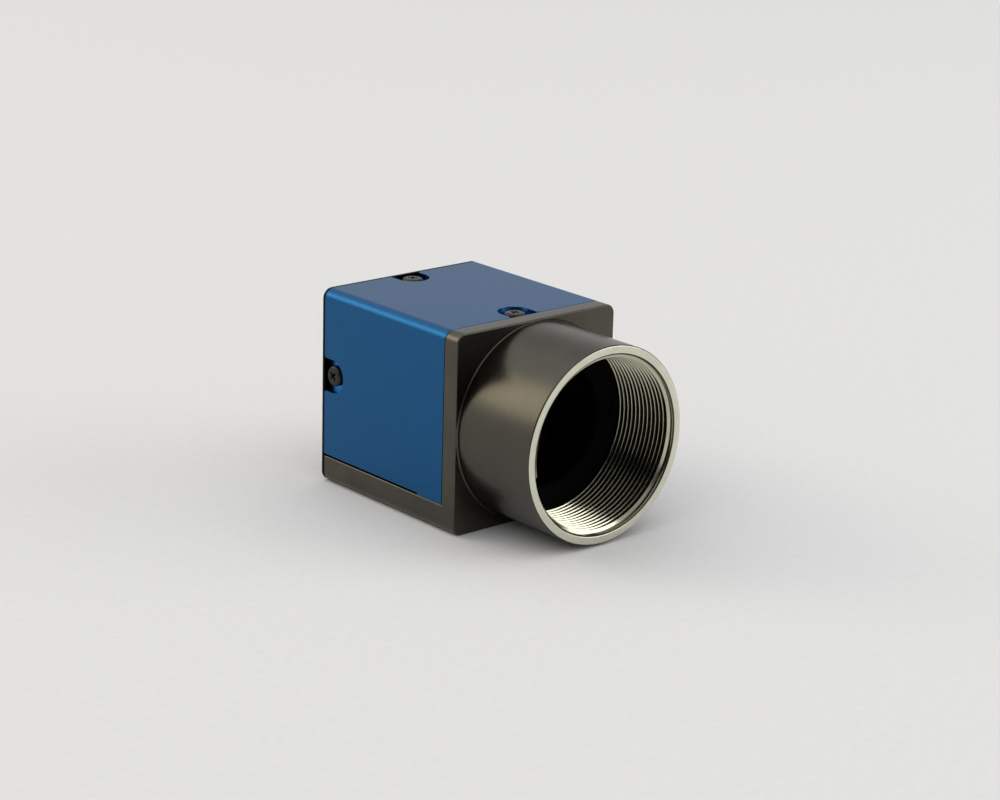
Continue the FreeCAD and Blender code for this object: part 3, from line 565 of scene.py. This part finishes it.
def make_thread():
    """The barrel's thread: one helical ridge of 60 degree form, a pitch apart."""
    root, crest = BORE_RADIUS + THREAD_SUNK, THREAD_CREST
    first = BARREL_FRONT + THREAD_RUN_IN
    bpy.ops.object.select_all(action="DESELECT")
    bpy.ops.mesh.primitive_plane_add(size=1, location=(0, 0, 0))
    thread = bpy.context.object
    thread.name = thread.data.name = "barrel_thread"
    thread.scale = metres(root - crest, 2 * THREAD_HALF_ROOT, 1)
    thread.location = metres((root + crest) / 2, first, 0)
    bpy.ops.object.transform_apply(location=True, rotation=True, scale=True)
    edit(thread)
    pick(thread, "VERT", lambda spot: near(spot.x, crest))
    bpy.ops.transform.resize(value=(1, THREAD_HALF_CREST / THREAD_HALF_ROOT, 1),
                             center_override=metres(crest, first, 0))
    bpy.ops.mesh.select_all(action="SELECT")
    bpy.ops.mesh.delete(type="ONLY_FACE")
    bpy.ops.object.mode_set(mode="OBJECT")
    steps = 144
    apply_modifier(thread, "SCREW", axis="Y", steps=steps, render_steps=steps,
                   iterations=THREAD_TURNS, screw_offset=THREAD_PITCH * MM,
                   use_merge_vertices=False)
    edit(thread)
    bpy.ops.mesh.select_mode(type="EDGE")
    bpy.ops.mesh.select_all(action="DESELECT")
    bpy.ops.mesh.select_non_manifold()
    bpy.ops.mesh.fill_holes(sides=4)
    done(thread)
    thread.rotation_euler = (0, THREAD_START, 0)
    thread.location = metres(0, 0, AXIS)
    bpy.ops.object.transform_apply(location=True, rotation=True, scale=True)
    return keep(thread, bare_threaded, "gunmetal_anodised")


# ---------------------------------------------------------------- housing

def make_chassis():
    """L-shaped front plate and base, milled from one piece."""
    chassis = box("chassis_milled", (-HALF, FRONT_FACE, 0), (HALF, PLATE_BACK, TOP))
    edit(chassis)
    bpy.ops.mesh.select_all(action="SELECT")
    bpy.ops.mesh.bisect(plane_co=metres(0, 0, BASE_TOP), plane_no=(0, 0, 1))
    pick(chassis, "FACE", lambda middle, normal: normal.y > 0.9 and middle.z < BASE_TOP)
    bpy.ops.mesh.extrude_region_move(
        TRANSFORM_OT_translate={"value": metres(0, COVER_BACK - PLATE_BACK, 0)})

    def long_edge(middle, direction):
        return along(direction, 1) and near(abs(middle.x), HALF) and (
            near(middle.z, 0) or near(middle.z, TOP))
    pick(chassis, "EDGE", long_edge)
    bpy.ops.mesh.bevel(offset=CORNER * MM, segments=10, affect="EDGES")
    for side in (-INNER_HALF, INNER_HALF):
        bpy.ops.mesh.select_all(action="SELECT")
        bpy.ops.mesh.bisect(plane_co=metres(side, 0, 0), plane_no=(1, 0, 0))
    pick(chassis, "FACE", lambda middle, normal: normal.z > 0.9 and near(middle.z, BASE_TOP)
         and abs(middle.x) < INNER_HALF)
    bpy.ops.mesh.extrude_region_move(
        TRANSFORM_OT_translate={"value": metres(0, 0, RAIL_TOP - BASE_TOP)})
    done(chassis)
    soften(chassis, MILLED_ROUND, segments=3)

    spigot = rod("spigot_cutter", SPIGOT_BORE, (0, FRONT_FACE - PAST, AXIS),
                 (0, SPIGOT_END, AXIS), "Y", sides=BARREL_SIDES)
    opening = box("opening_cutter", (-SENSOR_OPENING, FRONT_FACE, AXIS - SENSOR_OPENING),
                  (SENSOR_OPENING, PLATE_BACK + PAST, AXIS + SENSOR_OPENING))
    cutters = [spigot, opening]
    for x in (-BASE_HOLE_PLACE, BASE_HOLE_PLACE):
        for y in (-BASE_HOLE_PLACE, BASE_HOLE_PLACE):
            cutters.append(rod("base_hole_cutter", BASE_HOLE_RADIUS, (x, y, -PAST),
                               (x, y, BASE_HOLE_DEPTH), "Z"))
            cutters.append(rod("base_mouth_cutter", BASE_HOLE_RADIUS + 2 * BASE_HOLE_CHAMFER,
                               (x, y, -BASE_HOLE_CHAMFER), (x, y, BASE_HOLE_CHAMFER), "Z",
                               tip=BASE_HOLE_RADIUS))
    cut(chassis, *cutters)
    return keep(chassis, gunmetal_milled, "gunmetal_anodised", "front_chassis")


def make_boss():
    """Low ring on the front plate that the barrel stands on."""
    sunk_face = FRONT_FACE + 0.05
    profile = [
        (SPIGOT_BORE, BOSS_FACE),
        (BOSS_RADIUS - BOSS_CHAMFER, BOSS_FACE),
        (BOSS_RADIUS, BOSS_FACE + BOSS_CHAMFER),
        (BOSS_RADIUS, sunk_face),
        (SPIGOT_BORE, sunk_face),
    ]
    boss = rings("barrel_boss", profile, 0, AXIS, sides=BARREL_SIDES)
    return keep(boss, gunmetal_turned, "gunmetal_anodised")


def make_cover():
    """Folded sheet cover over the top and both sides, recessed round its four screws."""
    cover = box("cover_folded", (-HALF, PLATE_BACK, BASE_TOP), (HALF, COVER_BACK, TOP))
    edit(cover)
    pick(cover, "EDGE", lambda middle, direction: along(direction, 1) and near(middle.z, TOP))
    bpy.ops.mesh.bevel(offset=CORNER * MM, segments=12, affect="EDGES")
    done(cover)

    inner = HALF - COVER_WALL
    hollow = box("hollow_cutter", (-inner, PLATE_BACK - PAST, BASE_TOP - PAST),
                 (inner, COVER_BACK + PAST, TOP - COVER_WALL))
    edit(hollow)
    pick(hollow, "EDGE", lambda middle, direction: along(direction, 1)
         and near(middle.z, TOP - COVER_WALL))
    bpy.ops.mesh.bevel(offset=INNER_CORNER * MM, segments=4, affect="EDGES")
    done(hollow)
    seam = box("seam_cutter", (-HALF - PAST, SEAM_START, BASE_TOP - PAST),
               (HALF + PAST, COVER_BACK + PAST, BASE_TOP + SEAM))
    floor = TOP - RECESS_DEPTH
    side_floor = HALF - RECESS_DEPTH
    forward, backward = (0, -RECESS_RUN, 0), (0, RECESS_RUN, 0)
    recesses = [
        slot_cutter("front_recess_cutter", RECESS_RADIUS, (0, FRONT_SCREW, floor),
                    (0, FRONT_SCREW, TOP + PAST), "Z", forward),
        slot_cutter("rear_recess_cutter", RECESS_RADIUS, (0, REAR_SCREW, floor),
                    (0, REAR_SCREW, TOP + PAST), "Z", backward),
        slot_cutter("left_recess_cutter", RECESS_RADIUS, (-HALF - PAST, REAR_SCREW, SIDE_SCREW),
                    (-side_floor, REAR_SCREW, SIDE_SCREW), "X", backward),
        slot_cutter("right_recess_cutter", RECESS_RADIUS, (side_floor, REAR_SCREW, SIDE_SCREW),
                    (HALF + PAST, REAR_SCREW, SIDE_SCREW), "X", backward),
    ]
    cut(cover, hollow, seam, *recesses)

    def recess_mouth(middle, direction):
        at_end = near(middle.y, PLATE_BACK) or near(middle.y, COVER_BACK)
        in_top = along(direction, 2) and near(abs(middle.x), RECESS_RADIUS)
        in_side = along(direction, 0) and near(abs(middle.z - SIDE_SCREW), RECESS_RADIUS)
        return at_end and (in_top or in_side)
    edit(cover)
    pick(cover, "EDGE", recess_mouth)
    bpy.ops.mesh.bevel(offset=RECESS_FLARE * MM, segments=6, affect="EDGES")
    done(cover)
    soften(cover, 0.09)
    cover.data.materials.append(blue_anodised)

    # Faces that take the recess finish, whose lighter blue is partly a painted highlight.
    def in_highlit_recess(middle, normal):
        reach, rim, deepest = 3.0, 0.1, 1.01 * RECESS_DEPTH
        in_top = TOP - deepest < middle.z < TOP - rim and abs(middle.x) < reach
        in_side = HALF - deepest < abs(middle.x) < HALF - rim and (
            abs(middle.z - SIDE_SCREW) < reach and middle.y > REAR_SCREW - reach)
        return in_top or in_side
    face_material(cover, blue_milled_highlit, in_highlit_recess)
    return keep(cover, blue_anodised, "blue_anodised", "top_cover")


def usb_shape(name, low_y, high_y, grow):
    """Block in the shape of the data socket: two lobes with cut lower corners."""
    block = box(name, (USB_LOW.x - grow, low_y, USB_LOW.z - grow),
                (USB_HIGH.x + grow, high_y, USB_HIGH.z + grow))
    edit(block)
    pick(block, "EDGE", lambda middle, direction: along(direction, 1)
         and middle.z < (USB_LOW.z + USB_HIGH.z) / 2)
    bpy.ops.mesh.bevel(offset=USB_CORNER * MM, segments=1, affect="EDGES")
    done(block)
    notch_left, notch_right = USB_NOTCH
    notch = box("notch_cutter", (notch_left + grow, low_y - PAST, USB_LOW.z - PAST),
                (notch_right - grow, high_y + PAST, USB_LOW.z + USB_NOTCH_DEPTH - grow))
    return cut(block, notch)


def countersunk_cutter(name, bore, mouth, depth, x, z):
    """Cutter for a hole through the rear plate that opens to `mouth` over its last depth."""
    past = PAST / 2
    profile = [
        (bore, REAR_FACE - REAR_BLOCK - PAST),
        (bore, REAR_FACE - depth),
        (mouth, REAR_FACE),
        (mouth + (mouth - bore) / depth * past, REAR_FACE + past),
    ]
    return rings(name, profile, x, z, sides=64, tube=False)


def make_rear_plate():
    """Rear plate: a thin full-size lip and the block behind it that fits inside the cover."""
    plate = box("rear_plate_milled", (-HALF, COVER_BACK, 0), (HALF, REAR_FACE, TOP))
    edit(plate)
    pick(plate, "EDGE", lambda middle, direction: along(direction, 1))
    bpy.ops.mesh.bevel(offset=CORNER * MM, segments=10, affect="EDGES")
    done(plate)
    lap = 0.1
    soften(plate, 0.1)
    block = box("rear_block", (-INNER_HALF, REAR_FACE - REAR_BLOCK, RAIL_TOP + SLIDE_GAP),
                (INNER_HALF, COVER_BACK + lap, INNER_TOP))
    apply_modifier(plate, "BOOLEAN", operation="UNION", solver="EXACT", object=block)
    bpy.data.objects.remove(block)

    io_x, io_z = (IO_LOW.x + IO_HIGH.x) / 2, (IO_LOW.z + IO_HIGH.z) / 2
    light_x, light_z = (LIGHT_LOW.x + LIGHT_HIGH.x) / 2, (LIGHT_LOW.z + LIGHT_HIGH.z) / 2
    usb_z = (USB_LOW.z + USB_HIGH.z) / 2
    inside, outside = REAR_FACE - REAR_BLOCK - PAST, REAR_FACE + PAST
    cutters = [
        usb_shape("usb_cutter", inside, outside, SLIDE_GAP),
        rod("io_cutter", IO_RADIUS + SLIDE_GAP, (io_x, inside, io_z), (io_x, outside, io_z), "Y",
            sides=128),
        rod("light_cutter", LIGHT_RADIUS + SLIDE_GAP, (light_x, inside, light_z),
            (light_x, outside, light_z), "Y"),
    ]
    for x in (-LOCK_HOLE_PLACE, LOCK_HOLE_PLACE):
        cutters.append(countersunk_cutter("lock_cutter", LOCK_HOLE_RADIUS,
                                          LOCK_HOLE_RADIUS + LOCK_HOLE_CHAMFER,
                                          LOCK_HOLE_CHAMFER, x, usb_z))
    for x in (-REAR_SCREW_PLACE, REAR_SCREW_PLACE):
        cutters.append(countersunk_cutter("seat_cutter", SHANK_RADIUS + SLIDE_GAP, SEAT_RADIUS,
                                          SEAT_DEPTH, x, REAR_SCREW_HEIGHT))
    cut(plate, *cutters)
    return keep(plate, black_anodised, "black_anodised", "rear_plate")


# ---------------------------------------------------------------- screws

def cross_cutter(name, top, depth, span):
    """Tapered cross of a driver's tip, point down, in the screw's own frame."""
    half = CROSS_WIDTH / 2
    tip_length, tip_width = 0.45, 0.7
    arms = []
    for number, turn in enumerate((0, math.pi / 2)):
        arm = box(f"{name}_{number}", (-span / 2, -half, top - depth), (span / 2, half, top + 0.3))
        edit(arm)
        pick(arm, "VERT", lambda spot: spot.z < top)
        bpy.ops.transform.resize(value=(tip_length, tip_width, 1), center_override=(0, 0, 0))
        done(arm)
        arm.data.transform(Matrix.Rotation(turn, 4, "Z"))
        arms.append(arm)
    return arms


def make_pan_screw():
    """Pan-head screw with a cross recess, head up, its seat at height 0."""
    profile = [
        (SHANK_RADIUS, -1.5),
        (SHANK_RADIUS, 0.0),
        (HEAD_RADIUS - 0.05, 0.0),
        (HEAD_RADIUS, 0.05),
        (HEAD_RADIUS, HEAD_HEIGHT - 0.3),
        (HEAD_RADIUS - 0.08, HEAD_HEIGHT - 0.14),
        (HEAD_RADIUS - 0.24, HEAD_HEIGHT - 0.05),
        (HEAD_RADIUS - 0.5, HEAD_HEIGHT),
    ]
    screw = rings("pan_screw", profile, 0, 0, sides=96, tube=False)
    screw.data.transform(Matrix.Rotation(math.pi / 2, 4, "X"))
    return cut(screw, *cross_cutter("pan_cross", HEAD_HEIGHT, depth=0.55, span=1.75))


def make_flush_screw():
    """Countersunk screw with a cross recess, head up, its flat top at height 0."""
    profile = [
        (SHANK_RADIUS, -2.0),
        (SHANK_RADIUS, -SEAT_DEPTH),
        (HEAD_RADIUS - FLUSH_RIM, -0.05),
        (HEAD_RADIUS - FLUSH_RIM, -0.02),
        (HEAD_RADIUS - 2 * FLUSH_RIM, 0.0),
    ]
    screw = rings("flush_screw", profile, 0, 0, sides=96, tube=False)
    screw.data.transform(Matrix.Rotation(math.pi / 2, 4, "X"))
    return cut(screw, *cross_cutter("flush_cross", 0.0, depth=0.42, span=1.6))


def place_screw(pattern, name, node, place, axis, angle, twist):
    """Copy a screw to its seat, turned to face out, its cross at its own angle."""
    screw = pattern.copy()
    screw.data = pattern.data.copy()
    screw.name = screw.data.name = name
    bpy.context.scene.collection.objects.link(screw)
    turn = Matrix.Rotation(angle, 4, axis) @ Matrix.Rotation(twist, 4, "Z")
    screw.data.transform(Matrix.Translation(metres(*place)) @ turn)
    return keep(screw, screw_steel, "screw_steel", node)


def make_screws():
    """Four pan-head screws in the cover's recesses and two flush ones in the rear plate."""
    pan = make_pan_screw()
    floor = TOP - RECESS_DEPTH
    side_floor = HALF - RECESS_DEPTH
    quarter = math.pi / 2
    place_screw(pan, "cover_screw_head_top_front", "cover_screw_top_front",
                (0, FRONT_SCREW, floor), "X", 0, 0.35)
    place_screw(pan, "cover_screw_head_top_rear", "cover_screw_top_rear",
                (0, REAR_SCREW, floor), "X", 0, 0.9)
    place_screw(pan, "cover_screw_head_left", "cover_screw_left",
                (-side_floor, REAR_SCREW, SIDE_SCREW), "Y", -quarter, 0.75)
    place_screw(pan, "cover_screw_head_right", "cover_screw_right",
                (side_floor, REAR_SCREW, SIDE_SCREW), "Y", quarter, 0.2)
    bpy.data.objects.remove(pan)
    flush = make_flush_screw()
    for side, x, twist in (("left", -REAR_SCREW_PLACE, 0.4), ("right", REAR_SCREW_PLACE, 1.1)):
        place_screw(flush, f"rear_screw_head_{side}", f"rear_screw_{side}",
                    (x, REAR_FACE, REAR_SCREW_HEIGHT), "X", -quarter, twist)
    bpy.data.objects.remove(flush)


# ---------------------------------------------------------------- rear sockets

def make_io_socket():
    """Round power and trigger socket: turned shell and its domed pins."""
    x, z = (IO_LOW.x + IO_HIGH.x) / 2, (IO_LOW.z + IO_HIGH.z) / 2
    end = IO_HIGH.y
    flange_top = REAR_FACE + IO_FLANGE_THICK
    inner_end = REAR_FACE - 2.5
    lead_in, edge, groove = 0.25, 0.15, 0.35
    profile = [
        (IO_BORE, inner_end),
        (IO_BORE, end - lead_in),
        (IO_BORE + lead_in, end),
        (IO_RADIUS - edge, end),
        (IO_RADIUS, end - edge),
        (IO_RADIUS, flange_top + groove + edge),
        (IO_RADIUS - edge, flange_top + groove),
        (IO_RADIUS - edge, flange_top),
        (IO_FLANGE - edge, flange_top),
        (IO_FLANGE, flange_top - edge),
        (IO_FLANGE, REAR_FACE),
        (IO_RADIUS, REAR_FACE),
        (IO_RADIUS, inner_end),
    ]
    shell = rings("io_shell_turned", profile, x, z, sides=128)
    keep(shell, nickel_plate, "connector_steel", "io_shell")

    tip = PINS_HIGH.y
    pin_profile = [
        (IO_PIN_RADIUS, PINS_LOW.y - 0.1),
        (IO_PIN_RADIUS, tip - 0.25),
        (0.9 * IO_PIN_RADIUS, tip - 0.12),
        (0.625 * IO_PIN_RADIUS, tip - 0.03),
        (0.3 * IO_PIN_RADIUS, tip),
    ]
    pins = []
    for number in range(IO_PINS):
        angle = 2 * math.pi * (number + 0.5) / IO_PINS
        pins.append(rings(f"io_pin_{number + 1}", pin_profile,
                          x + IO_PIN_CIRCLE * math.cos(angle),
                          z + IO_PIN_CIRCLE * math.sin(angle), sides=32, tube=False))
    bpy.ops.object.select_all(action="DESELECT")
    for pin in pins:
        pin.select_set(True)
    bpy.context.view_layer.objects.active = pins[0]
    bpy.ops.object.join()
    pins[0].name = pins[0].data.name = "io_pins_turned"
    keep(pins[0], contact_gold, "contact_gold", "io_pins")


def make_status_light():
    """Light pipe with a low domed end."""
    x, z = (LIGHT_LOW.x + LIGHT_HIGH.x) / 2, (LIGHT_LOW.z + LIGHT_HIGH.z) / 2
    end = LIGHT_HIGH.y
    profile = [
        (LIGHT_RADIUS, end - 2.2),
        (LIGHT_RADIUS, end - 0.2),
        (LIGHT_RADIUS - 0.06, end - 0.12),
        (LIGHT_RADIUS - 0.2, end - 0.06),
        (LIGHT_RADIUS / 2, end - 0.015),
        (LIGHT_RADIUS / 6, end),
    ]
    light = rings("status_light_domed", profile, x, z, sides=64, tube=False)
    keep(light, light_pipe, "light_pipe", "status_light")


# ---------------------------------------------------------------- floor, light and camera

def make_floor():
    """Pale paper that the camera stands on."""
    bpy.ops.object.select_all(action="DESELECT")
    bpy.ops.mesh.primitive_plane_add(size=8.0, location=(0, 0, 0))
    floor = named("floor")
    material, tree, output = blank("pale_paper_floor")
    place = add(tree, "ShaderNodeTexCoord").outputs["Object"]
    fibre = add(tree, "ShaderNodeTexNoise", {"Vector": place, "Scale": grain_scale(1.2)})
    shader = add(tree, "ShaderNodeBsdfPrincipled", {
        "Base Color": two_tone(tree, fibre.outputs["Fac"], "E1E1E1", "E4E4E4"),
        "Roughness": 0.9, "Specular IOR Level": 0.1})
    tree.links.new(shader.outputs["BSDF"], output.inputs["Surface"])
    floor.data.materials.append(material)


def aim(place, target):
    """Matrix of a lamp at a place, pointing at a target, in millimetres."""
    way = (Vector(target) - Vector(place)).to_track_quat("-Z", "Y")
    return Matrix.Translation(metres(*place)) @ way.to_matrix().to_4x4()


def add_lamp(name, kind, place, power, code, **settings):
    """Add a lamp that points at the lens axis and isn't seen itself."""
    data = bpy.data.lights.new(name, kind)
    data.energy = power
    data.color = linear(code)[:3]
    for setting, value in settings.items():
        setattr(data, setting, value)
    lamp = bpy.data.objects.new(name, data)
    lamp.matrix_world = aim(place, (0, 0, AXIS))
    lamp.visible_camera = False
    bpy.context.scene.collection.objects.link(lamp)


def make_studio():
    """World: an even fill for matt surfaces, and what the camera, metal and glass see.

    They see pale paper behind, a little dimmer high up, which fades to dark grey in front.
    """
    world = bpy.data.worlds.new("studio")
    bpy.context.scene.world = world
    world.use_nodes = True
    tree = world.node_tree
    tree.nodes.clear()
    way = add(tree, "ShaderNodeTexCoord").outputs["Generated"]
    parts = add(tree, "ShaderNodeSeparateXYZ", {"Vector": way})
    behind = add(tree, "ShaderNodeMapRange", {"Value": parts.outputs["Y"], "From Min": -0.2,
                                              "From Max": 0.4}, interpolation_type="SMOOTHSTEP")
    low = add(tree, "ShaderNodeMapRange", {"Value": parts.outputs["Z"], "From Min": 0.55,
                                           "From Max": 0.28, "To Min": 0.75, "To Max": 1.0},
              interpolation_type="SMOOTHSTEP")
    paper = add(tree, "ShaderNodeMath", {0: behind.outputs["Result"], 1: low.outputs["Result"]},
                operation="MULTIPLY")
    tone = add(tree, "ShaderNodeMix", {0: paper.outputs[0], 6: linear("282828"),
                                       7: linear("E2E2E2")}, data_type="RGBA")
    ray = add(tree, "ShaderNodeLightPath")
    seen = add(tree, "ShaderNodeMath", {0: ray.outputs["Is Camera Ray"],
                                        1: ray.outputs["Is Glossy Ray"]}, operation="MAXIMUM")
    seen = add(tree, "ShaderNodeMath", {0: seen.outputs[0],
                                        1: ray.outputs["Is Transmission Ray"]},
               operation="MAXIMUM")
    fill = add(tree, "ShaderNodeBackground", {"Color": linear("FFFFFF"), "Strength": 0.34})
    shown = add(tree, "ShaderNodeBackground", {"Color": tone.outputs[2], "Strength": 1.0})
    both = add(tree, "ShaderNodeMixShader", {0: seen.outputs[0], 1: fill.outputs[0],
                                             2: shown.outputs[0]})
    output = add(tree, "ShaderNodeOutputWorld")
    tree.links.new(both.outputs[0], output.inputs["Surface"])


def make_lamps():
    """Broad light overhead, a warm softbox behind on the left, and two in front.

    Of these, the one on the right is strong and the one near the middle faint.
    """
    add_lamp("overhead_light", "SUN", (-130, -40, 900), 1.56, "FFFFFF", angle=math.radians(105))
    add_lamp("rear_left_softbox", "AREA", (-600, 864, 560), 2.7, "FFF2DA", shape="RECTANGLE",
             size=0.60, size_y=0.50)
    add_lamp("front_right_softbox", "AREA", (820, -740, 420), 3.7, "FFFFFF", shape="RECTANGLE",
             size=0.80, size_y=0.50)
    add_lamp("front_softbox", "AREA", (160, -1150, 400), 0.35, "FFFFFF", shape="RECTANGLE",
             size=0.70, size_y=0.40)


def make_camera():
    """Camera at the viewing angle, by its place, bearing, height angle and roll."""
    place = metres(-236.82, -277.93, 127.94)
    bearing, height, roll = (math.radians(angle) for angle in (-41.21, 17.39, 1.66))
    back = Vector((math.sin(bearing) * math.cos(height), -math.cos(bearing) * math.cos(height),
                   math.sin(height)))
    level = (-back).cross(Vector((0, 0, 1))).normalized()
    upright = back.cross(level)
    right = math.cos(roll) * level + math.sin(roll) * upright
    up = math.cos(roll) * upright - math.sin(roll) * level
    data = bpy.data.cameras.new("studio_camera")
    data.lens = 95.65
    data.sensor_width = 36.0
    data.clip_start = 0.01
    data.clip_end = 20.0
    camera = bpy.data.objects.new("studio_camera", data)
    turn = Matrix((right, up, back)).transposed().to_4x4()
    camera.matrix_world = Matrix.Translation(place) @ turn
    bpy.context.scene.collection.objects.link(camera)
    bpy.context.scene.camera = camera


# ---------------------------------------------------------------- the whole camera

CARRIED = {
    "filter_glass": filter_glass,
    "filter_retaining_ring": bore_black,
    "sensor_window": window_glass,
    "sensor_die": sensor_silicon,
    "sensor_package": package_ceramic,
    "image_processor": chip_epoxy,
    "usb_shell": nickel_plate,
    "usb_insert": black_nylon,
    "io_insert": black_nylon,
}
CARRIED_FAMILIES = (("board_connector", black_nylon), ("board_spacer", post_brass),
                    ("_board", circuit_board))


def dress_frame():
    """Give each node that stays its own finish."""
    for name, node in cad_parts.items():
        if node.hide_render:
            continue
        material = CARRIED.get(name) or next(
            shared for part, shared in CARRIED_FAMILIES if part in name)
        node.data.materials.clear()
        node.data.materials.append(material)


bpy.context.scene.view_settings.view_transform = "Standard"
make_camera()
make_studio()
make_lamps()
make_floor()
make_barrel()
make_thread()
make_chassis()
make_boss()
make_cover()
make_rear_plate()
make_screws()
make_io_socket()
make_status_light()
dress_frame()
